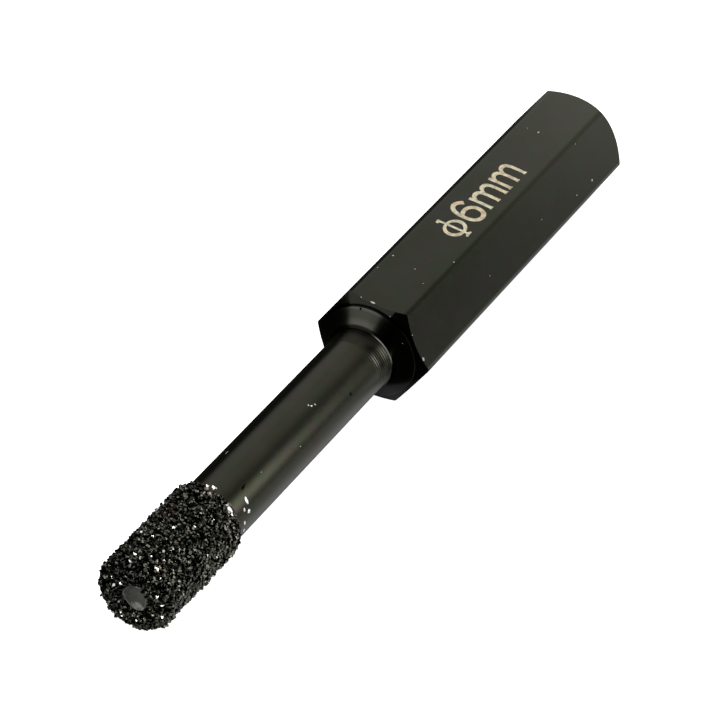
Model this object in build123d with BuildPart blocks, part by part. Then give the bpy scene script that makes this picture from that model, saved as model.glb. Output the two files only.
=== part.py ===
from build123d import *
import math
import os

# Diamond drill bit for dry cutting, with a hexagonal shank.
# Millimetres and degrees. +X runs along the tool, from the grit-covered tip to the end of the shank.
# The bit lies on one flat of its hexagon, at z = 0, and the origin is under the middle of its length.

# Cutting end
crown_diameter = 6.0  # over the grit
crown_length = 10.5
grit_layer = 0.4  # thickness of brazed grit on the steel, at the side and at the end
nose_radius = 0.8  # outer edge of the grit at the tip
mouth_diameter = 2.3  # opening that the grit leaves in the end
mouth_round = 0.1
run_out = 0.5  # length over which the grit thins out on the stem
run_out_edge = 0.08  # thickness of the braze where it ends

# Bore and its wax filling
bore_diameter = 3.0
bore_depth = 28.0  # from the tip to the shoulder of the drill point
drill_point_angle = 118.0
wax_dish = 0.12  # depth of the hollow that the wax leaves as it sets

# Steel body, turned from hexagonal bar
overall_length = 67.0
shank_length = 35.2  # from the root of the shoulder to the end
across_flats = 8.5
bar_edge_radius = 0.25
root_fillet = 0.2
ring_count = 8  # feed rings of the lathe tool, left on the stem beside the shoulder
ring_pitch = 0.2
ring_depth = 0.02
ring_gap = 0.05  # plain stem between the last ring and the root fillet
shoulder_angle = 37.0  # between the cone and a plane across the axis
rim_width = 0.25  # chamfered ring outside the cone, measured in from the flats
rim_step = 0.21  # the cone's edge stands this far forward of the rim
rim_angle = 34.0
end_land = 0.1  # radial step from the end face to the flats
end_chamfer_angle = 48.0
chamfer_bulge = 0.02  # both outer chamfers are turned very slightly convex

# Worked out from the sizes above, along the axis from the tip
stem_radius = crown_diameter / 2 - grit_layer
stem_nose_radius = nose_radius - grit_layer
stem_front = grit_layer
root_at = overall_length - shank_length
fillet_reach = root_fillet * math.tan(math.radians((90 - shoulder_angle) / 2))
rings_end = root_at - fillet_reach - ring_gap
rings_start = rings_end - ring_count * ring_pitch
axis_height = across_flats / 2
corner_reach = across_flats / math.sqrt(3)
cone_radius = across_flats / 2 - rim_width
end_radius = across_flats / 2 - end_land
mouth_radius = mouth_diameter / 2
bore_radius = bore_diameter / 2
bore_end = bore_depth + bore_radius / math.tan(math.radians(drill_point_angle / 2))

tip = (-overall_length / 2, 0, axis_height)
tool_axis = Axis(tip, (1, 0, 0))
# In the half section, x is the distance from the tip and y the distance from the axis
half_section = Plane(origin=tip, x_dir=(1, 0, 0), z_dir=(0, -1, 0))
bar_start = Plane(origin=tip, x_dir=(0, 1, 0), z_dir=(1, 0, 0)).offset(stem_front)


def along(radius_from, radius_to, angle):
    """Distance along the axis that a cone at this angle takes between two radii"""
    return (radius_to - radius_from) * math.tan(math.radians(angle))


def turned_outline():
    """Half outline that the lathe leaves of the bar, without its rounded corners"""
    clear = corner_reach + 0.3
    cone_end = root_at + along(stem_radius, cone_radius, shoulder_angle)
    rim_start = cone_end + rim_step
    rim_end = rim_start + along(cone_radius, clear, rim_angle)
    chamfer_start = overall_length - along(end_radius, clear, end_chamfer_angle)
    Polyline((overall_length, 0), (stem_front, 0), (stem_front, stem_radius), (rings_start, stem_radius))
    for ring in range(ring_count):
        ring_at = rings_start + ring * ring_pitch
        SagittaArc((ring_at, stem_radius), (ring_at + ring_pitch, stem_radius), -ring_depth)
    shoulder = [(root_at, stem_radius), (cone_end, cone_radius), (rim_start, cone_radius)]
    Polyline((rings_end, stem_radius), *shoulder)
    SagittaArc((rim_start, cone_radius), (rim_end, clear), chamfer_bulge)
    Line((rim_end, clear), (chamfer_start, clear))
    SagittaArc((chamfer_start, clear), (overall_length, end_radius), chamfer_bulge)
    Line((overall_length, end_radius), (overall_length, 0))


def bore_points():
    """Half outline of the drilled bore, from the steel's front to the drill point"""
    return [
        (stem_front, 0),
        (stem_front, bore_radius),
        (bore_depth, bore_radius),
        (bore_end, 0),
    ]


os.makedirs("parts", exist_ok=True)

# Body: hexagonal bar, turned down to the stem and bored from the tip
with BuildPart() as steel_body:
    with BuildSketch(bar_start) as bar:
        RegularPolygon(across_flats / 2, 6, major_radius=False)
        fillet(bar.vertices(), bar_edge_radius)
    extrude(amount=overall_length - stem_front)
    with BuildSketch(half_section) as turned:
        with BuildLine():
            turned_outline()
        make_face()
        fillet(turned.vertices().sort_by_distance((stem_front, stem_radius))[0], stem_nose_radius)
        fillet(turned.vertices().sort_by_distance((root_at, stem_radius))[0], root_fillet)
    revolve(axis=tool_axis, mode=Mode.INTERSECT)
    with BuildSketch(half_section):
        with BuildLine():
            Polyline(*bore_points(), close=True)
        make_face()
    revolve(axis=tool_axis, mode=Mode.SUBTRACT)
steel_body.part.label = "steel_body"
export_step(steel_body.part, "parts/steel_body.step")

# Crown: grit brazed round the stem's end and over its face
with BuildPart() as grit_crown:
    with BuildSketch(half_section) as coat:
        with BuildLine():
            FilletPolyline(
                (stem_front, mouth_radius),
                (0, mouth_radius),
                (0, crown_diameter / 2),
                (crown_length - run_out, crown_diameter / 2),
                radius=[mouth_round, nose_radius],
            )
            TangentArc(
                (crown_length - run_out, crown_diameter / 2),
                (crown_length, stem_radius + run_out_edge),
                tangent=(1, 0),
            )
            Line((crown_length, stem_radius + run_out_edge), (crown_length, stem_radius))
            FilletPolyline(
                (crown_length, stem_radius),
                (stem_front, stem_radius),
                (stem_front, mouth_radius),
                radius=stem_nose_radius,
            )
        make_face()
    revolve(axis=tool_axis)
grit_crown.part.label = "grit_crown"
export_step(grit_crown.part, "parts/grit_crown.step")

# Wax: poured into the bore to cool the cut, dished where it set
with BuildPart() as wax_core:
    with BuildSketch(half_section):
        with BuildLine():
            TangentArc((mouth_round + wax_dish, 0), (mouth_round, mouth_radius), tangent=(0, 1))
            Polyline((mouth_round, mouth_radius), (stem_front, mouth_radius), *bore_points()[1:])
            Line((bore_end, 0), (mouth_round + wax_dish, 0))
        make_face()
    revolve(axis=tool_axis)
wax_core.part.label = "wax_core"
export_step(wax_core.part, "parts/wax_core.step")
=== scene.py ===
import math
import random

import bmesh
import bpy
from mathutils import Matrix, Vector, noise


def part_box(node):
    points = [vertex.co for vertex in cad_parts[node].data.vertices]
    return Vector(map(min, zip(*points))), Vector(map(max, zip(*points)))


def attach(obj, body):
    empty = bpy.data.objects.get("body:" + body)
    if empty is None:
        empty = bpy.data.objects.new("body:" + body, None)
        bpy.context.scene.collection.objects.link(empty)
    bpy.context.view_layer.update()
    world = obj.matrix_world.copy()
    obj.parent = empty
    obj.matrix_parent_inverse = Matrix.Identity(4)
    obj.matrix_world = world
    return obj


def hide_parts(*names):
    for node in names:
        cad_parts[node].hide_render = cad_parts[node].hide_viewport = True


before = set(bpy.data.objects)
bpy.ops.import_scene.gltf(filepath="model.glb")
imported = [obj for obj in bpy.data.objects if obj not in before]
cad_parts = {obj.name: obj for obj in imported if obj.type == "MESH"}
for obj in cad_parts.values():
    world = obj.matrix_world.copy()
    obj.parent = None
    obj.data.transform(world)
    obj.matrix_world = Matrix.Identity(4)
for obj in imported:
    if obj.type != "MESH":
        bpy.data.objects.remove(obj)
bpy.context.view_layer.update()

# Diamond drill bit for dry drilling, lying on one flat of its hexagonal shank.
# Pieces are modelled in millimetres in the bit's own frame: +X runs from the grit tip to the shank's end.
# settle() turns each finished piece into metres.
MM = 0.001


def box_mm(node):
    """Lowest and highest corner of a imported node, in millimetres"""
    low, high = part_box(node)
    return Vector(low) / MM, Vector(high) / MM


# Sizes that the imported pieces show, in millimetres
crown_low, crown_high = box_mm("grit_crown")
steel_low, steel_high = box_mm("steel_body")
tip_x = crown_low.x
crown_length = crown_high.x - tip_x
crown_radius = (crown_high.z - crown_low.z) / 2
axis_z = (crown_high.z + crown_low.z) / 2
top_z = steel_high.z
steel_front = steel_low.x - tip_x

# Sizes that their boxes don't show
grit_layer = 0.4  # thickness of the grit on the stem
stem_radius = crown_radius - grit_layer
nose_radius = 0.75  # outer edge of the grit at the tip
mouth_radius = 1.15  # opening that the grit leaves in the end
bore_radius = 1.5
bore_depth = 28.0  # from the tip to the shoulder of the drill point
drill_point_angle = 118.0
shank_length = 35.2  # from the root of the shoulder to the end
root_x = steel_high.x - shank_length
cone_edge = 4.0  # radius where the shoulder's cone ends and its rim begins
corner_start = 4.71  # radius where a flat of the bar turns into its rounded corner
corner_radius = 4.868

# Feed rings on the stem beside the shoulder, and where painted highlights fall on them and on the root
# fillet, on the side towards -Y and up
ring_pitch = 0.24
ring_start = root_x - 1.9
ring_highlight_centre = (root_x - 0.9, -1.84, axis_z + 1.84)
lit_spot_centre = (root_x - 0.6, -1.84, axis_z + 1.84)


# Modelling helpers

def start():
    """Nothing selected, so that the next primitive is edited alone"""
    if bpy.context.object and bpy.context.object.mode != "OBJECT":
        bpy.ops.object.mode_set(mode="OBJECT")
    bpy.ops.object.select_all(action="DESELECT")


def pick(piece):
    """Makes a piece the only selected one and the active one"""
    start()
    piece.select_set(True)
    bpy.context.view_layer.objects.active = piece
    return piece


def place_applied():
    """Puts the object's place, turn and size into its mesh"""
    bpy.ops.object.transform_apply(location=True, rotation=True, scale=True)


def outward():
    """In edit mode, closes doubled points and turns all faces outwards"""
    bpy.ops.mesh.select_all(action="SELECT")
    bpy.ops.mesh.remove_doubles(threshold=0.0005)
    bpy.ops.mesh.normals_make_consistent(inside=False)


def join(pieces):
    """Joins pieces into the first one"""
    pick(pieces[0])
    for piece in pieces:
        piece.select_set(True)
    bpy.ops.object.join()
    return pieces[0]


def copied(shape):
    """Copy of a shape with its own mesh"""
    copy = bpy.data.objects.new(shape.name, shape.data.copy())
    bpy.context.collection.objects.link(copy)
    return copy


def settle(piece, name, material, stands_for=()):
    """Finishes a piece: metres, name, material and the body it rides on"""
    pick(piece)
    place_applied()
    piece.scale = (MM, MM, MM)
    place_applied()
    piece.name = piece.data.name = name
    piece.data.materials.clear()
    piece.data.materials.append(material)
    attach(piece, "root")
    if stands_for:
        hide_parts(*stands_for)
    return piece


def round_the_axis(run, radius, angle):
    """Point this far from the tip, at this angle round the tool axis, from straight up towards -Y"""
    turn = math.radians(angle)
    return Vector((tip_x + run, -radius * math.sin(turn), axis_z + radius * math.cos(turn)))


def turned(outline, steps):
    """Closed shell from a half section, drawn point by point as (run, radius) and spun round the tool axis"""
    start()
    points = [round_the_axis(run, radius, 0) for run, radius in outline]
    bpy.ops.mesh.primitive_plane_add(size=0.1, location=points[0])
    place_applied()
    bpy.ops.object.mode_set(mode="EDIT")
    bpy.ops.mesh.merge(type="CENTER")
    for before, after in zip(points, points[1:]):
        bpy.ops.mesh.extrude_region_move(TRANSFORM_OT_translate={"value": after - before})
    bpy.ops.mesh.select_all(action="SELECT")
    bpy.ops.mesh.spin(steps=steps, angle=2 * math.pi, center=(tip_x, 0, axis_z), axis=(1, 0, 0))
    outward()
    bpy.ops.object.mode_set(mode="OBJECT")
    return bpy.context.object


# Shader maths

class Value:
    """A number, colour or vector that varies over a surface: a node's output, with arithmetic on numbers"""

    def __init__(self, shading, socket):
        self.shading = shading
        self.socket = socket

    def _math(self, operation, first, second):
        return self.shading.node("Math", {"operation": operation}, {0: first, 1: second})

    def __add__(self, other):
        return self._math("ADD", self, other)

    def __sub__(self, other):
        return self._math("SUBTRACT", self, other)

    def __rsub__(self, other):
        return self._math("SUBTRACT", other, self)

    def __mul__(self, other):
        return self._math("MULTIPLY", self, other)

    def __pow__(self, other):
        return self._math("POWER", self, other)

    def __abs__(self):
        return self._math("ABSOLUTE", self, 0)

    __radd__ = __add__
    __rmul__ = __mul__


class Shading:
    """The nodes of one material or of the world"""

    def __init__(self, owner):
        owner.use_nodes = True
        self.tree = owner.node_tree
        self.tree.nodes.clear()

    def node(self, kind, settings=(), sockets=(), out=0):
        """Adds a node with its settings, then the values or links of its sockets, and gives one output"""
        node = self.tree.nodes.new("ShaderNode" + kind)
        for name, value in dict(settings).items():
            setattr(node, name, value)
        for name, value in dict(sockets).items():
            if isinstance(value, Value):
                self.tree.links.new(node.inputs[name], value.socket)
            else:
                node.inputs[name].default_value = value
        outputs = [output for output in node.outputs if output.enabled]
        if not outputs:
            return None
        return Value(self, outputs[out] if isinstance(out, int) else node.outputs[out])

    def millimetres(self):
        """Object coordinates in millimetres"""
        place = self.node("TexCoord", out="Object")
        return self.node("VectorMath", {"operation": "SCALE"}, {0: place, "Scale": 1 / MM})

    def part(self, place, letter):
        """X, Y or Z of a place"""
        return self.node("SeparateXYZ", {}, {0: place}, letter)

    def vectors(self, operation, first, second=(0, 0, 0)):
        """Vector arithmetic on two places or directions"""
        return self.node("VectorMath", {"operation": operation}, {0: first, 1: second})

    def stretched(self, place, by):
        """A place scaled by its own factor along each axis, for long streaks"""
        return self.vectors("MULTIPLY", place, by)

    def distance(self, place, centre, along=(1, 1, 1)):
        """Distance of a place from a centre, with each axis counted by its own factor"""
        apart = self.stretched(self.vectors("SUBTRACT", place, centre), along)
        return self.node("VectorMath", {"operation": "LENGTH"}, {0: apart}, "Value")

    def noise(self, place, size, detail=2.0, roughness=0.5):
        """Noise from 0 to 1 whose lumps are about this many millimetres across"""
        sockets = {"Vector": place, "Scale": 1 / size, "Detail": detail, "Roughness": roughness}
        return self.node("TexNoise", {}, sockets, "Fac")

    def between(self, value, low, high):
        """0 at low, 1 at high and a soft step between them"""
        sockets = {"Value": value, "From Min": low, "From Max": high}
        return self.node("MapRange", {"interpolation_type": "SMOOTHSTEP"}, sockets)

    def blend(self, share, first, second):
        """Mixes two colours"""
        first, second = (colour if isinstance(colour, Value) else (*colour, 1) for colour in (first, second))
        return self.node("Mix", {"data_type": "RGBA"}, {"Factor": share, 6: first, 7: second})

    def shaded(self, colour, factor):
        """A colour made lighter or darker by a varying factor"""
        return self.node("VectorMath", {"operation": "SCALE"}, {0: colour, "Scale": factor})

    def bump(self, height, depth, base=None):
        """Normal of a surface with this relief, depth in millimetres, on top of another normal if given"""
        sockets = {"Height": height, "Distance": depth * MM, "Strength": 1.0}
        if base:
            sockets["Normal"] = base
        return self.node("Bump", {}, sockets)


def new_material(name, build):
    """Material whose Principled shader gets the sockets that build(shading) returns"""
    material = bpy.data.materials.new(name)
    shading = Shading(material)
    surface = shading.node("BsdfPrincipled", {}, build(shading))
    shading.node("OutputMaterial", {}, {"Surface": surface})
    return material


# Finishes

class SteelZones:
    """Zones of the steel body as masks from 0 to 1: flats, turned shoulder, cone, rim and the spot of painted
    highlight
    """

    def __init__(self, s):
        self.place = s.millimetres()
        self.run, self.across, self.height = (s.part(self.place, letter) for letter in "XYZ")
        self.radius = s.distance(self.place, (0, 0, axis_z), (0, 1, 1))
        lengthwise = abs(s.part(s.node("NewGeometry", out="True Normal"), "X"))
        self.drawn = s.between(lengthwise, 0.3, 0.12) * s.between(self.radius, 4.05, 4.2)
        self.shoulder = s.between(self.run, root_x + 2.3, root_x + 2) * (1 - self.drawn)
        self.cone = s.between(self.run, root_x, root_x + 0.1) * self.shoulder
        # Spot of painted highlight on the root fillet, where the painted shade by the shoulder also eases
        self.lit_spot = s.between(s.distance(self.place, lit_spot_centre), 1.8, 1.0)
        # The rim below the top flat: it starts at the bar's corner towards +Y and fades out towards -Y
        above = self.height - axis_z
        from_corner = s.between(above * 0.6 - self.across, -0.04, 0.04)
        fading = s.between(above * 0.4 + self.across, -0.2, 0.3)
        rim_edge = s.between(self.radius, cone_edge + 0.02, cone_edge + 0.06)
        self.rolled = rim_edge * self.shoulder * from_corner * fading


def oxide_hue(s, zones):
    """Olive clouds with greener and redder patches, greener beside the bar's corners, greyer on the cone"""
    place = zones.place
    cloud = s.between(s.noise(place, 3.2, 3), 0.35, 0.65)
    green = s.between(s.noise(place, 1.4, 2), 0.5, 0.62)
    red = s.between(s.noise(s.stretched(place, (1.3, 1, 1)), 1.1, 2), 0.52, 0.63)
    corners = zones.drawn * s.between(zones.radius, 4.3, 4.8) * s.between(s.noise(place, 2.4, 2), 0.35, 0.6)
    colour = s.blend(cloud, (0.0325, 0.0328, 0.0215), (0.0375, 0.0378, 0.0275))
    colour = s.blend(green * 0.8, colour, (0.031, 0.0375, 0.0235))
    colour = s.blend(red * 0.85, colour, (0.0395, 0.0335, 0.0285))
    colour = s.blend(0.6 * corners, colour, (0.031, 0.0385, 0.022))
    return s.blend(0.6 * zones.cone, colour, (0.0345, 0.0345, 0.031))


def painted_shading_and_pits(s, zones):
    """Factor on the hue: painted shade on the cone, on its rim and step, on the stem by the shoulder and low
    down; a painted highlight on the rolled rim under the top flat; the flats a little darker; dark pits
    """
    radius = zones.radius
    # Painted shade: a darker band across the cone
    dark_ring = s.between(radius, 3.0, 3.4) * (1 - s.between(radius, 3.76, 3.86)) * zones.shoulder
    # Painted shade on the rim past the cone's edge, less where it is rolled over
    rim = s.between(radius, cone_edge - 0.01, cone_edge + 0.01) * zones.shoulder
    rim = rim * (0.75 - 0.45 * s.between(radius, cone_edge + 0.06, cone_edge + 0.24)) * (1 - zones.rolled)
    # Painted shade in the step between cone and rim
    step = s.between(abs(radius - cone_edge), 0.06, 0.03) * zones.shoulder
    # Painted shade on the stem by the shoulder, weaker in the spot of painted highlight
    root = s.between(zones.run, root_x - 0.9, root_x - 0.1) * s.between(radius, 2.95, 2.8) * zones.shoulder
    # Painted shade on the shoulder below the axis
    below = s.between(zones.height, axis_z, axis_z - 1.5) * s.between(radius, 2.7, 2.8) * zones.shoulder
    shade = (1 - 0.2 * zones.drawn - 0.36 * dark_ring) * (1 - rim) * (1 - (0.85 - 0.6 * zones.lit_spot) * root)
    # Painted shade in the step and low down, and a painted highlight on the rolled rim
    shade = shade * (1 - 0.96 * step) * (1 - 0.8 * below) * (1 + 0.45 * zones.rolled)
    pits = [
        # run from the tip, radius, angle, size
        (26.21, stem_radius, 56.5, 0.18), (32.75, 3.86, -15, 0.12),
        (11.95, stem_radius, 34, 0.12), (12.11, stem_radius, 33.5, 0.12), (12.3, stem_radius, 32.5, 0.1),
    ]
    for pit_run, pit_radius, angle, size in pits:
        pit = round_the_axis(pit_run, pit_radius, angle)
        shade = shade * s.between(s.distance(zones.place, pit), 0.6 * size, size)
    return shade


def feed_rings(s, zones):
    """Factor on the shade: lines of the lathe's feed on the stem, painted as highlights and dark gaps in one
    spot only
    """
    # Painted highlight: the rings show only in this spot towards -Y and up
    patchy = s.between(s.distance(zones.place, ring_highlight_centre, (0.6, 1, 1)), 1.4, 0.8)
    first = s.between(zones.run, ring_start, ring_start + 0.1)
    last = s.between(zones.run, root_x - 0.1, root_x - 0.15)
    rings = first * last * patchy
    turns = (zones.run - ring_start) * (2 * math.pi / ring_pitch)
    wave = 1 + s.node("Math", {"operation": "SINE"}, {0: turns})
    return 1 - rings + 0.85 * rings * wave ** 2


def oxide_normal(s, zones):
    """Normal with rounder corners on the bar, the top of the rim rolled over and a fine grain"""
    corner = s.between(zones.radius, corner_start, corner_radius) * zones.drawn
    from_axis = s.stretched(s.vectors("SUBTRACT", zones.place, (0, 0, axis_z)), (0, 1, 1))
    facing = s.blend(corner, s.node("NewGeometry", out="Normal"), s.vectors("NORMALIZE", from_axis))
    facing = s.blend(0.9 * zones.rolled, facing, (0, 0, 1))
    sideways = 1 - 0.22 * zones.cone * s.between(zones.across, 0.3, 1.3)
    facing = s.stretched(facing, s.node("CombineXYZ", {}, {"X": 1.0, "Y": sideways, "Z": 1.0}))
    grain = s.noise(zones.place, 0.12, 3, 0.6)
    lathe_lines = s.noise(s.stretched(zones.place, (1, 0.02, 0.02)), 0.07, 2) * (1 - zones.drawn)
    return s.bump(grain + 0.7 * lathe_lines, 0.0009, s.vectors("NORMALIZE", facing))


def black_oxide(s):
    """Black oxide on turned and drawn steel: dark satin olive, with painted shade and highlights on the
    shoulder and the stem beside it, and a painted highlight line along the root fillet
    """
    zones = SteelZones(s)
    shade = painted_shading_and_pits(s, zones) * feed_rings(s, zones)
    # Painted highlight: a pale, non-metallic line along the root fillet in the spot of painted highlight
    fillet_line = s.between(zones.radius, 2.63, 2.65) * s.between(zones.radius, 2.73, 2.70)
    fillet_highlight = fillet_line * zones.lit_spot * zones.shoulder
    return {
        "Base Color": s.blend(fillet_highlight, s.shaded(oxide_hue(s, zones), shade), (0.22, 0.215, 0.19)),
        "Metallic": 1 - fillet_highlight,
        "Roughness": 0.22 - 0.05 * zones.cone + 0.06 * s.noise(zones.place, 0.5, 3),
        "Normal": oxide_normal(s, zones),
    }


def grit_facets(s):
    """Diamond crystals under braze: olive facets, each with its own tone, some rusty, a few clear"""
    place = s.millimetres()
    tone = s.node("Attribute", {"attribute_name": "tone"}, out="Fac")
    clear = s.between(tone, 0.985, 0.99)
    rust = s.between(s.noise(place, 1.1, 2), 0.6, 0.68) * 0.6
    # Rusty spots: run from the tip, angle, size
    for run, angle, size in ((6.5, -21, 0.9), (1.1, 23, 0.6), (9.6, 0, 0.6), (1.4, -50, 0.5)):
        spot = round_the_axis(run, crown_radius, angle)
        rust = rust + s.between(s.distance(place, spot), size, 0.3 * size)
    light = s.blend(s.between(rust, 0, 1.2), (0.25, 0.256, 0.205), (0.25, 0.165, 0.12))
    # Fine flecks within a facet, with painted shade that darkens the side towards +Y
    flecks_and_painted_shade = 0.3 + 1.4 * s.between(s.noise(place, 0.07, 1), 0.4, 0.6)
    flecks_and_painted_shade = flecks_and_painted_shade * (1 - 0.3 * s.between(s.part(place, "Y"), -0.8, 1.2))
    facet = s.shaded(s.blend(tone ** 1.5, (0.016, 0.016, 0.012), light), flecks_and_painted_shade)
    return {
        "Base Color": s.blend(clear, facet, (0.95, 0.95, 0.93)),
        "Metallic": 1.0,
        "Roughness": 0.13,
    }


def braze(s):
    """Nickel braze between the crystals, dark and lumpy"""
    place = s.millimetres()
    lump = s.noise(place, 0.18, 3, 0.6)
    return {
        "Base Color": s.blend(s.between(lump, 0.4, 0.75), (0.008, 0.008, 0.0065), (0.05, 0.05, 0.04)),
        "Metallic": 1.0,
        "Roughness": 0.25,
        "Normal": s.bump(lump, 0.03),
    }


def bright_braze(s):
    """Splashes of braze left bright behind the grit"""
    place = s.millimetres()
    return {
        "Base Color": (0.93, 0.93, 0.91, 1),
        "Metallic": 0.6,
        "Roughness": 0.25,
        "Normal": s.bump(s.noise(place, 0.15, 2), 0.01),
    }


def cooling_wax(s):
    """Grey wax, olive in places, with painted highlights along its front lip and in a crescent low down, and
    a few dark crumbs of grit
    """
    place = s.millimetres()
    cloud = s.between(s.noise(place, 0.9, 3), 0.35, 0.65)
    crumbs = s.between(s.noise(place, 0.13, 1), 0.68, 0.72)
    # Painted highlights: the front lip and a crescent low down towards -Y made pale
    lip_highlight = s.between(s.part(place, "X"), tip_x + 0.13, tip_x + 0.07)
    crescent_highlight = s.between(s.distance(place, (0, -0.5, axis_z - 0.62), (0, 0.55, 1.3)), 0.4, 0.2)
    pale = crescent_highlight * s.between(s.noise(place, 0.3, 2), 0.3, 0.55)
    colour = s.blend(cloud, (0.032, 0.036, 0.022), (0.045, 0.045, 0.036))
    colour = s.blend(crumbs, colour, (0.01, 0.01, 0.008))
    return {
        "Base Color": s.blend(pale + 0.3 * lip_highlight, colour, (0.19, 0.19, 0.175)),
        "Roughness": 0.3,
        "Normal": s.bump(s.noise(place, 0.35, 2), 0.012),
    }


def pale_dust(s):
    """Specks of dust and chipped oxide"""
    return {"Base Color": (0.5, 0.49, 0.45, 1), "Roughness": 0.5}


def mark_coat(s):
    """Pale size mark, cream with a peach tint"""
    place = s.millimetres()
    middle = s.between(s.part(place, "Z"), top_z + 0.0045, top_z + 0.0072)
    peach = middle * s.between(s.noise(place, 0.9, 2), 0.38, 0.58)
    patchy = 0.75 + 0.5 * s.between(s.noise(place, 0.45, 2), 0.35, 0.65)
    return {
        "Base Color": s.shaded(s.blend(peach, (0.62, 0.58, 0.40), (0.60, 0.44, 0.28)), patchy),
        "Roughness": 0.4,
        "Normal": s.bump(s.noise(place, 0.09, 2), 0.004),
    }


# Grit crown

def crown_spot(run, angle, lift=0.0):
    """Point on the crown: run counts from the axis over the end, the nose and the side, lift outwards"""
    flat = crown_radius - nose_radius
    bend = nose_radius * math.pi / 2
    tilt = min(max(run - flat, 0) / nose_radius, math.pi / 2)
    x = nose_radius * (1 - math.cos(tilt)) + max(run - flat - bend, 0)
    radius = min(run, flat) + nose_radius * math.sin(tilt)
    return round_the_axis(x - lift * math.cos(tilt), radius + lift * math.sin(tilt), angle)


def mouth_edge(angle):
    """Uneven radius of the opening in the grit, wider towards -Y"""
    return 0.96 + 0.28 * math.cos(math.radians(angle - 64)) + 0.06 * math.cos(math.radians(3 * angle - 90))


def rear_edge(angle):
    """How far the grit stops short of its full length, most on the side towards -Y"""
    return 0.4 - 0.3 * math.cos(math.radians(angle + 75)) + 0.12 * noise.noise(Vector((angle / 25, 0, 0)))


def angle_of(point):
    """Angle of a point round the tool axis"""
    return math.degrees(math.atan2(-point.y, point.z - axis_z)) % 360


def braze_bed():
    """Braze that holds the grit: a lumpy sleeve on the stem with a rounded nose and an open mouth"""
    sunk = 0.17  # how far the bed lies below the tops of the crystals
    nose = nose_radius - sunk
    outer = crown_radius - sunk
    inner = stem_radius - 0.05
    mouth = mouth_radius + 0.12
    back = steel_front + 0.05
    arc = [math.radians(10 * step) for step in range(10)]
    rows = 84
    side = crown_length - 0.3 - nose_radius
    outline = [(back, mouth), (sunk + 0.03, mouth)]
    outline += [(sunk, mouth + 0.2 * step) for step in range(1, 4)]
    outline += [(sunk + nose - nose * math.cos(a), outer - nose + nose * math.sin(a)) for a in arc]
    outline += [(sunk + nose + side * row / rows, outer) for row in range(1, rows + 1)]
    outline += [(crown_length - 0.15, outer - 0.1), (crown_length, stem_radius + 0.02), (crown_length, inner)]
    outline += [(back, inner), outline[0]]
    bed = turned(outline, 150)
    ragged = 0.8  # length at the rear over which the edge grows uneven
    for vertex in bed.data.vertices:
        point = vertex.co
        spread = Vector((0, point.y, point.z - axis_z))
        free = min(max(spread.length - stem_radius, 0) / 0.1, 1)
        lump = 0.07 * noise.noise(point / 0.4) + 0.03 * noise.noise(point / 0.15)
        if free > 0:
            point += spread.normalized() * lump * free
        elif point.x < tip_x + sunk + 0.1:
            point.x -= lump
        if point.x > tip_x + crown_length - ragged:
            point.x -= rear_edge(angle_of(point)) * (point.x - tip_x - crown_length + ragged) / ragged
    pick(bed)
    bpy.ops.object.shade_smooth()
    return bed


def crystal_shapes(rng):
    """Blocky crystals of about one unit: cubes cut by planes at random slants, some by more than others"""
    shapes = []
    for cuts in (3, 4, 4, 5, 5, 6):
        start()
        bpy.ops.mesh.primitive_cube_add(size=0.92)
        bpy.ops.object.mode_set(mode="EDIT")
        for _ in range(cuts):
            facing = Vector([rng.gauss(0, 1) for _ in range(3)]).normalized()
            cut_facet(facing, facing * rng.uniform(0.33, 0.47))
        bpy.ops.object.mode_set(mode="OBJECT")
        shapes.append(bpy.context.object)
    return shapes


def cut_facet(facing, at):
    """In edit mode, cuts a flat facet that faces this way through a point"""
    bpy.ops.mesh.select_all(action="SELECT")
    bpy.ops.mesh.bisect(plane_co=at, plane_no=facing, clear_outer=True, use_fill=True)


def scattered(rng, gap, tries=90000):
    """Spots on the crown at least this far apart: (run, angle) pairs, run as crown_spot counts it"""
    side_end = crown_radius - nose_radius + nose_radius * math.pi / 2 + crown_length - nose_radius - 0.28
    taken = {}
    spots = []
    for _ in range(tries):
        run = rng.uniform(0.6, side_end)
        angle = rng.uniform(0, 360)
        point = crown_spot(run, angle)
        # Fewer tries near the axis, where a turn covers less
        from_axis = math.hypot(point.y, point.z - axis_z)
        if rng.random() > from_axis / crown_radius or run < mouth_edge(angle) + 0.1:
            continue
        if run > side_end - rear_edge(angle):
            continue
        cell = tuple(math.floor(c / gap) for c in point)
        near = (taken.get((cell[0] + i, cell[1] + j, cell[2] + k), ())
                for i in (-1, 0, 1) for j in (-1, 0, 1) for k in (-1, 0, 1))
        if any((point - other).length < gap for group in near for other in group):
            continue
        taken.setdefault(cell, []).append(point)
        spots.append((run, angle))
    return spots


def toned(crystal, rng, clear=0.0025):
    """Gives each facet of a crystal its own tone, and this share of them the clear one"""
    tones = crystal.data.attributes.new("tone", "FLOAT", "FACE")
    own = rng.random()
    for facet in tones.data:
        facet.value = 1.0 if rng.random() < clear else 0.95 * (0.35 * own + 0.65 * rng.random())


def turned_freely(rng):
    """Rotation to any direction"""
    turn = Vector([rng.gauss(0, 1) for _ in range(3)]).normalized()
    return Matrix.Rotation(rng.uniform(-math.pi, math.pi), 4, turn)


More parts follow.
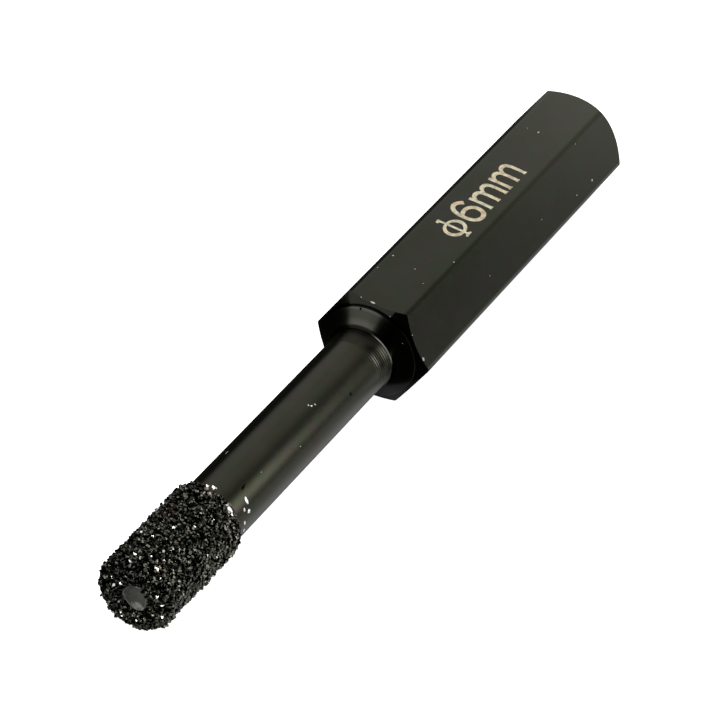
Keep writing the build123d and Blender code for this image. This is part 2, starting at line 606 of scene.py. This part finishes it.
def grit_crystals():
    """Some four thousand crystals bedded in the braze, each turned its own way"""
    proud_share = 0.22  # crystals that stand clearly out of the coat
    bare = -0.46  # noise below which a patch of the braze stays bare
    rng = random.Random(6)
    shapes = crystal_shapes(rng)
    crystals = []
    for run, angle in scattered(rng, 0.168):
        size = rng.uniform(0.185, 0.29)
        proud = rng.uniform(0.04, 0.15) if rng.random() < proud_share else rng.uniform(-0.06, 0.02)
        point = crown_spot(run, angle, lift=proud - 0.46 * size)
        if noise.noise(point / 0.6) < bare:
            continue
        crystal = copied(rng.choice(shapes))
        stretch = Matrix.Diagonal([size * rng.uniform(0.85, 1.2) for _ in range(3)] + [1])
        crystal.matrix_world = Matrix.Translation(point) @ turned_freely(rng) @ stretch
        toned(crystal, rng)
        crystals.append(crystal)
    crystals += flat_crystals(rng, shapes[0])
    grit = join(crystals)
    for shape in shapes:
        bpy.data.objects.remove(shape)
    return grit


def flat_crystals(rng, shape):
    """Clear crystals that show a flat facet forwards and up"""
    crystals = []
    on_side = [
        # run from the tip, angle, width
        (1.14, -10, 0.20), (1.20, -15, 0.13), (1.58, 8, 0.15), (0.95, 25, 0.31), (1.90, 25, 0.24),
        (0.64, 36, 0.15), (0.95, 38, 0.17), (3.37, -12, 0.14), (4.91, 2, 0.17), (7.69, 8, 0.17),
        (6.04, 22, 0.13), (7.69, 34, 0.15), (8.68, 42, 0.20), (6.49, 73, 0.21), (8.35, 62, 0.15),
        (7.91, 76, 0.21), (1.85, 80, 0.18), (9.95, -6, 0.14), (10.05, 3, 0.17), (3.1, 20, 0.12),
        (2.75, 70, 0.12), (4.6, 48, 0.12), (3.0, 96, 0.13), (7.2, 97, 0.15),
    ]
    on_end = [
        # distance from the axis, angle, width
        (1.90, -55, 0.24), (1.30, -48, 0.15), (1.98, -159, 0.17), (2.18, -162, 0.14),
        (2.55, 100, 0.15), (2.50, 74, 0.16), (1.95, 165, 0.10), (2.35, 57, 0.15),
    ]
    places = [(run, crown_radius - 0.02 - 0.3 * width, angle, width) for run, angle, width in on_side]
    places += [(0.03 + 0.3 * width, radius, angle, width) for radius, angle, width in on_end]
    for run, radius, angle, width in places:
        crystal = copied(shape)
        facing = Vector((-0.8066, 0.0657 + rng.uniform(-0.06, 0.06), 0.5875)).normalized()
        crystal.matrix_world = (
            Matrix.Translation(round_the_axis(run, radius, angle))
            @ turned_freely(rng) @ Matrix.Scale(1.35 * width, 4)
        )
        pick(crystal)
        place_applied()
        middle = sum((v.co for v in crystal.data.vertices), Vector()) / len(crystal.data.vertices)
        bpy.ops.object.mode_set(mode="EDIT")
        cut_facet(facing, middle + facing * 0.22 * width)
        bpy.ops.object.mode_set(mode="OBJECT")
        toned(crystal, rng, clear=0)
        for facet, tone in zip(crystal.data.polygons, crystal.data.attributes["tone"].data):
            if facet.normal.dot(facing) > 0.999:
                tone.value = 1.0
        crystals.append(crystal)
    return crystals


def braze_splashes():
    """Bright drops and smears of braze on the stem and along the crown's rear edge"""
    rng = random.Random(11)
    places = [
        # run from the tip, angle, length along the bit, width round it, radius underneath
        (11.60, 52, 0.32, 0.58, stem_radius),
        (11.02, 61, 0.22, 0.22, stem_radius),
        (11.38, 69, 0.33, 0.34, stem_radius),
        (10.69, 81, 0.22, 0.35, stem_radius),
        (10.64, 96, 0.20, 0.26, stem_radius),
        (10.62, 128, 0.24, 0.40, stem_radius),
        (11.10, 205, 0.30, 0.24, stem_radius),
        (10.70, 262, 0.22, 0.36, stem_radius),
        (10.36, -10, 0.13, 0.17, stem_radius),
        (10.45, 3, 0.13, 0.24, stem_radius),
        (10.20, -33, 0.26, 0.30, stem_radius),
        (9.56, 34, 0.30, 0.40, crown_radius - 0.02),
        (9.44, 41, 0.34, 0.62, crown_radius),
        (9.32, 48, 0.22, 0.26, crown_radius),
        (22.19, 18, 0.13, 0.11, stem_radius),
        (22.33, 22.5, 0.15, 0.13, stem_radius),
        (22.67, 25, 0.11, 0.12, stem_radius),
        (18.97, 55.7, 0.06, 0.06, stem_radius),
        (14.32, 37.4, 0.07, 0.05, stem_radius),
    ]
    return join([drop(rng, round_the_axis(run, radius, angle), angle, length, width)
                 for run, angle, length, width, radius in places])


def drop(rng, place, angle, length, width, thick=0.28):
    """Lumpy flat drop on a surface that faces this angle, thick as a share of its smaller size"""
    start()
    bpy.ops.mesh.primitive_ico_sphere_add(subdivisions=3, radius=0.5)
    lump = bpy.context.object
    seed = Vector((rng.uniform(0, 9), rng.uniform(0, 9), rng.uniform(0, 9)))
    for vertex in lump.data.vertices:
        vertex.co *= 1 + 0.5 * noise.noise(1.8 * vertex.co + seed)
    sizes = Matrix.Diagonal((length, width, thick * min(length, width), 1))
    lump.matrix_world = Matrix.Translation(place) @ Matrix.Rotation(math.radians(angle), 4, "X") @ sizes
    bpy.ops.object.shade_smooth()
    return lump


def steel_specks():
    """Pale specks on two flats of the shank, on its shoulder and on the stem"""
    rng = random.Random(3)
    flat = top_z - axis_z
    places = [
        # run from the tip, angle the surface faces, distance across it from its middle, length, width, radius
        (39.27, 0, -1.92, 0.16, 0.13, flat), (37.28, 0, -2.15, 0.08, 0.10, flat),
        (33.39, 0, -1.38, 0.09, 0.12, flat), (33.37, 0, -0.36, 0.15, 0.42, flat),
        (38.85, 0, 0.22, 0.10, 0.10, flat), (41.38, 0, 2.24, 0.12, 0.10, flat),
        (60.48, 0, -0.38, 0.18, 0.15, flat), (60.44, 0, -1.37, 0.07, 0.09, flat),
        (37.68, 0, 1.61, 0.07, 0.07, flat), (44.71, 60, 0.58, 0.08, 0.10, flat),
        (53.54, 60, 0.51, 0.10, 0.10, flat), (59.10, 60, 1.39, 0.26, 0.06, flat),
        (61.76, 60, 1.48, 0.20, 0.20, flat), (33.51, 60, 1.34, 0.20, 0.34, flat),
        (61.32, 60, -2.10, 0.12, 0.08, flat), (14.59, -34, 0, 0.34, 0.05, stem_radius),
        (33.14, 19, 0, 0.09, 0.10, 4.1), (32.63, 50.5, 0, 0.07, 0.07, 3.7),
        (33.31, 48.5, 0, 0.07, 0.08, 4.36), (31.95, 99, 0, 0.10, 0.12, 2.7),
    ]
    specks = []
    for run, angle, across, length, width, radius in places:
        turn = math.radians(angle)
        place = round_the_axis(run, radius, angle) - across * Vector((0, math.cos(turn), math.sin(turn)))
        specks.append(drop(rng, place, angle, length, width, 0.15))
    return join(specks)


# Wax in the bore

def wax_fill():
    """Wax from the drill point to the mouth, where it set in a shallow dish"""
    edge = bore_radius - 0.01
    drill_point = bore_depth + edge / math.tan(math.radians(drill_point_angle / 2))
    dish = [(0.27, 0.0), (0.265, 0.3), (0.24, 0.55), (0.2, 0.72), (0.14, 0.84), (0.08, 0.93), (0.05, 1.0)]
    neck = [(0.1, 1.06), (0.3, 1.08), (0.5, 1.08)]
    wax = turned(dish + neck + [(0.5, edge), (bore_depth, edge), (drill_point, 0.0)], 96)
    for vertex in wax.data.vertices:
        point = vertex.co
        if point.x < tip_x + 0.4:
            widened = mouth_edge(angle_of(point))
            point.y *= widened
            point.z = axis_z + (point.z - axis_z) * widened
            point.x += 0.04 * noise.noise(Vector((0, point.y, point.z)) / 0.6)
    pick(wax)
    bpy.ops.object.shade_smooth_by_angle(angle=math.radians(50))
    return wax


# Size mark on the top flat, plain strokes of a pale coat

def stroke(points, closed=False):
    """Raised stroke of the size mark through points of the top flat: run from the tip, y and width"""
    start()
    bpy.ops.curve.primitive_bezier_curve_add(location=(0, 0, 0))
    path = bpy.context.object.data
    path.bevel_depth = 0.5
    path.bevel_resolution = 2
    path.resolution_u = 4
    path.use_fill_caps = True
    line = path.splines[0]
    line.use_cyclic_u = closed
    line.bezier_points.add(len(points) - 2)
    for point, (run, y, width) in zip(line.bezier_points, points):
        point.co = (tip_x + run, y, 0)
        point.radius = width
        point.handle_left_type = point.handle_right_type = "AUTO"
    bpy.ops.object.convert(target="MESH")
    shape = bpy.context.object
    shape.scale.z = 0.04
    shape.location.z = top_z
    place_applied()
    bpy.ops.object.mode_set(mode="EDIT")
    outward()
    bpy.ops.object.mode_set(mode="OBJECT")
    bpy.ops.object.shade_smooth()
    return shape


def unit_letter(at):
    """The letter m: a stem with a foot and two arches, its first stem this far from the tip"""
    stem = [(0, 0.69, 0.34), (0.01, 0.3, 0.36), (-0.02, -1.2, 0.35), (-0.04, -1.4, 0.48)]
    arch = [(0.1, 0.12, 0.28), (0.32, 0.4, 0.34), (0.7, 0.54, 0.42), (1.02, 0.46, 0.42),
            (1.2, 0.18, 0.38), (1.24, -0.2, 0.36), (1.2, -1.2, 0.35), (1.18, -1.4, 0.48)]
    arch_width = 1.24
    return [stroke([(at + shift + run, y, width) for run, y, width in line])
            for line, shift in ((stem, 0), (arch, 0), (arch, arch_width))]


def size_mark():
    """Diameter sign, number and unit in plain strokes"""
    ring = [(44.29, -0.24, 0.38), (44.56, 0.30, 0.32), (45.22, 0.53, 0.22), (45.88, 0.30, 0.32),
            (46.15, -0.24, 0.40), (45.88, -0.78, 0.34), (45.22, -1.01, 0.24), (44.56, -0.78, 0.40)]
    upright = [(45.20, 1.26, 0.26), (45.24, 1.0, 0.25), (45.22, -1.3, 0.25), (45.22, -1.46, 0.3)]
    head = [(44.92, 1.20, 0.22), (45.15, 1.24, 0.28), (45.38, 1.26, 0.22)]
    foot = [(44.82, -1.52, 0.18), (45.05, -1.46, 0.26), (45.30, -1.44, 0.26), (45.56, -1.50, 0.18)]
    number = [(48.50, 0.76, 0.44), (48.40, 0.86, 0.46), (48.20, 1.07, 0.42), (47.84, 1.24, 0.40),
              (47.48, 1.18, 0.40), (47.17, 0.94, 0.40), (46.97, 0.55, 0.40), (46.88, 0.08, 0.40),
              (46.87, -0.42, 0.40), (46.98, -0.88, 0.40), (47.27, -1.20, 0.40), (47.70, -1.32, 0.40),
              (48.12, -1.22, 0.42), (48.41, -0.94, 0.42), (48.51, -0.54, 0.42), (48.42, -0.15, 0.40),
              (48.12, 0.15, 0.38), (47.70, 0.25, 0.38), (47.33, 0.20, 0.36), (47.02, 0.05, 0.30)]
    strokes = [stroke(ring, closed=True)] + [stroke(line) for line in (upright, head, foot, number)]
    return join(strokes + unit_letter(49.28) + unit_letter(52.5))


# Camera, light and ground

def camera():
    """Camera where the photograph was taken from: it looks down along the bit from beyond its tip"""
    azimuth, height, roll = math.radians(-64.7616), math.radians(39.5514), math.radians(7.2340)
    distance = 250.22
    shift_right, shift_up = 0.5756, 0.6353
    aim = Vector((-0.686, 0, axis_z))
    level_back = Vector((math.sin(azimuth), -math.cos(azimuth), 0))
    back = level_back * math.cos(height) + Vector((0, 0, math.sin(height)))
    level = Vector((math.cos(azimuth), math.sin(azimuth), 0))
    upright = back.cross(level)
    right = level * math.cos(roll) + upright * math.sin(roll)
    up = -level * math.sin(roll) + upright * math.cos(roll)
    data = bpy.data.cameras.new("camera")
    data.lens = 165.58
    data.sensor_width = data.sensor_height = 36
    data.clip_start = 0.01
    eye = bpy.data.objects.new("camera", data)
    bpy.context.collection.objects.link(eye)
    turn = Matrix((right, up, back)).transposed().to_4x4()
    place = aim + back * distance - right * shift_right - up * shift_up
    eye.matrix_world = Matrix.Translation(place * MM) @ turn
    bpy.context.scene.camera = eye


def studio():
    """Soft studio round the bit: a wide pale panel beyond its far end, dim elsewhere, white to the eye"""
    world = bpy.data.worlds.new("studio")
    bpy.context.scene.world = world
    s = Shading(world)
    direction = s.node("TexCoord", out="Generated")

    def glow(toward, inner, outer, strength):
        facing = {0: direction, 1: Vector(toward).normalized()}
        cosine = s.node("VectorMath", {"operation": "DOT_PRODUCT"}, facing, "Value")
        return s.between(cosine, math.cos(math.radians(outer)), math.cos(math.radians(inner))) * strength

    fill = glow((1, 0, 0.3), 40, 84, 0.32)
    on_flats = glow((0.70, 0.30, 0.65), 8, 44, 1.0)
    on_right = glow((0.70, -0.66, 0.27), 5, 30, 0.4)
    light = fill + on_flats + on_right
    lit = s.node("Background", {}, {"Strength": light})
    white = s.node("Background", {}, {"Color": (1, 1, 1, 1)})
    seen = s.node("LightPath", out="Is Camera Ray")
    s.node("OutputWorld", {}, {"Surface": s.node("MixShader", {}, {"Fac": seen, 1: lit, 2: white})})


def soft_box(name, toward, distance, radius, radiance, mirrored=True):
    """Round soft box in this direction from the bit, in metres"""
    data = bpy.data.lights.new(name, "AREA")
    data.shape = "DISK"
    data.size = 2 * radius
    data.energy = radiance * math.pi * math.pi * radius ** 2
    lamp = bpy.data.objects.new(name, data)
    bpy.context.collection.objects.link(lamp)
    toward = Vector(toward).normalized()
    turn = toward.to_track_quat("Z", "Y").to_matrix().to_4x4()
    lamp.matrix_world = Matrix.Translation(toward * distance) @ turn
    lamp.visible_camera = False
    lamp.visible_glossy = mirrored


def ground():
    """Pale floor: white to the eye; to reflections it glows, with painted shadow under the bit and beside its
    shoulder
    """
    start()
    bpy.ops.mesh.primitive_plane_add(size=6)
    floor = bpy.context.object
    floor.name = "floor"
    material = bpy.data.materials.new("floor")
    s = Shading(material)
    place = s.millimetres()
    beside = s.between(abs(s.part(place, "Y")), 0.5, 6)
    far = s.between(s.distance(place, (0, 0, 0)), 20, 90)
    by_shoulder = s.between(s.distance(place, (3.6, -5, 0), (1, 0.5, 1)), 4, 1)
    seen = s.node("LightPath", out="Is Camera Ray")
    mirrored = s.node("LightPath", out="Is Glossy Ray")
    # Glow that reflections see, with painted shadow beside the bit and by its shoulder, and dimmer far off
    reflected = mirrored * beside * (1 - 0.6 * far) * (1 - 0.8 * by_shoulder) * 0.62
    paper = s.node("BsdfDiffuse", {}, {"Color": (0.8, 0.8, 0.8, 1)})
    black = s.node("Emission", {}, {"Strength": 0.0})
    paper = s.node("MixShader", {}, {"Fac": mirrored * 0.66, 1: paper, 2: black})
    light = s.node("Emission", {}, {"Color": (1, 1, 1, 1), "Strength": reflected + seen})
    s.node("OutputMaterial", {}, {"Surface": s.node("AddShader", {}, {0: paper, 1: light})})
    floor.data.materials.append(material)


def card(name, place, turn, size, material):
    """Card of the studio that only reflections see, in millimetres"""
    start()
    bpy.ops.mesh.primitive_plane_add(size=1, location=place, rotation=turn)
    sheet = bpy.context.object
    sheet.scale = size
    place_applied()
    sheet.scale = (MM, MM, MM)
    place_applied()
    sheet.name = name
    sheet.data.materials.append(material)
    sheet.visible_camera = sheet.visible_diffuse = sheet.visible_shadow = sheet.visible_transmission = False


def black_cards():
    """Black cards with a clear back: two beside the bit, the one on the floor as painted shade, and one
    before its shoulder
    """
    black = bpy.data.materials.new("black_card")
    s = Shading(black)
    dark = s.node("Emission", {}, {"Color": (0.02, 0.02, 0.016, 1)})
    clear = s.node("BsdfTransparent")
    back_side = s.node("NewGeometry", out="Backfacing")
    s.node("OutputMaterial", {}, {"Surface": s.node("MixShader", {}, {"Fac": back_side, 1: dark, 2: clear})})
    quarter = math.radians(90)
    card("side_card", (0, 15, 5.4), (quarter, 0, 0), (90, 10.8, 1), black)
    # Painted shade: a black sheet on the floor beside the bit that only reflections see
    card("side_floor_card", (0, 9.5, 0.02), (0, 0, 0), (90, 11, 1), black)
    card("front_card", (-1.8, -16.3, 7), (0, quarter, 0), (14, 27.3, 1), black)


def soft_panel(name, centre, toward, inner, outer, strength, along=(1, 1, 1)):
    """Soft light that only reflections see: full inside one distance from its centre, none past another"""
    glow = bpy.data.materials.new(name)
    s = Shading(glow)
    faded = s.between(s.distance(s.millimetres(), centre, along), outer, inner) * strength
    light = s.node("Emission", {}, {"Strength": faded})
    clear = s.node("BsdfTransparent")
    s.node("OutputMaterial", {}, {"Surface": s.node("AddShader", {}, {0: light, 1: clear})})
    turn = Vector(toward).to_track_quat("Z", "Y").to_euler()
    reach = 2 * outer / min(along)
    card(name, centre, turn, (reach, reach, 1), glow)


def main():
    bpy.context.scene.view_settings.view_transform = "Standard"
    camera()
    studio()
    soft_box("box_left", (-0.778, 0.449, 0.438), 0.42, 0.16, 2.6)
    soft_box("box_above", (-0.35, -0.2, 1), 0.6, 0.3, 3.0, mirrored=False)
    ground()
    black_cards()
    soft_panel("panel_behind", (75, -12, 15), (-1, 0, 0), 20, 62, 0.85)
    soft_panel("panel_right", (34.6, -63, 38), (-0.66, 0.66, -0.3), 3, 19, 3.1, (1.5, 0.6, 0.5))
    soft_panel("panel_front", (6, -63, 38), (-0.66, 0.66, -0.3), 3, 24, 3.2, (1, 0.6, 0.5))
    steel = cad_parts["steel_body"]
    steel.data.materials.clear()
    steel.data.materials.append(new_material("black_oxide", black_oxide))
    settle(braze_bed(), "braze_bed", new_material("braze", braze), ["grit_crown"])
    settle(grit_crystals(), "grit_crystals", new_material("grit_facets", grit_facets))
    settle(braze_splashes(), "braze_splashes", new_material("bright_braze", bright_braze))
    settle(steel_specks(), "steel_specks", new_material("pale_dust", pale_dust))
    settle(wax_fill(), "wax_fill", new_material("cooling_wax", cooling_wax), ["wax_core"])
    settle(size_mark(), "size_mark", new_material("mark_coat", mark_coat))


main()
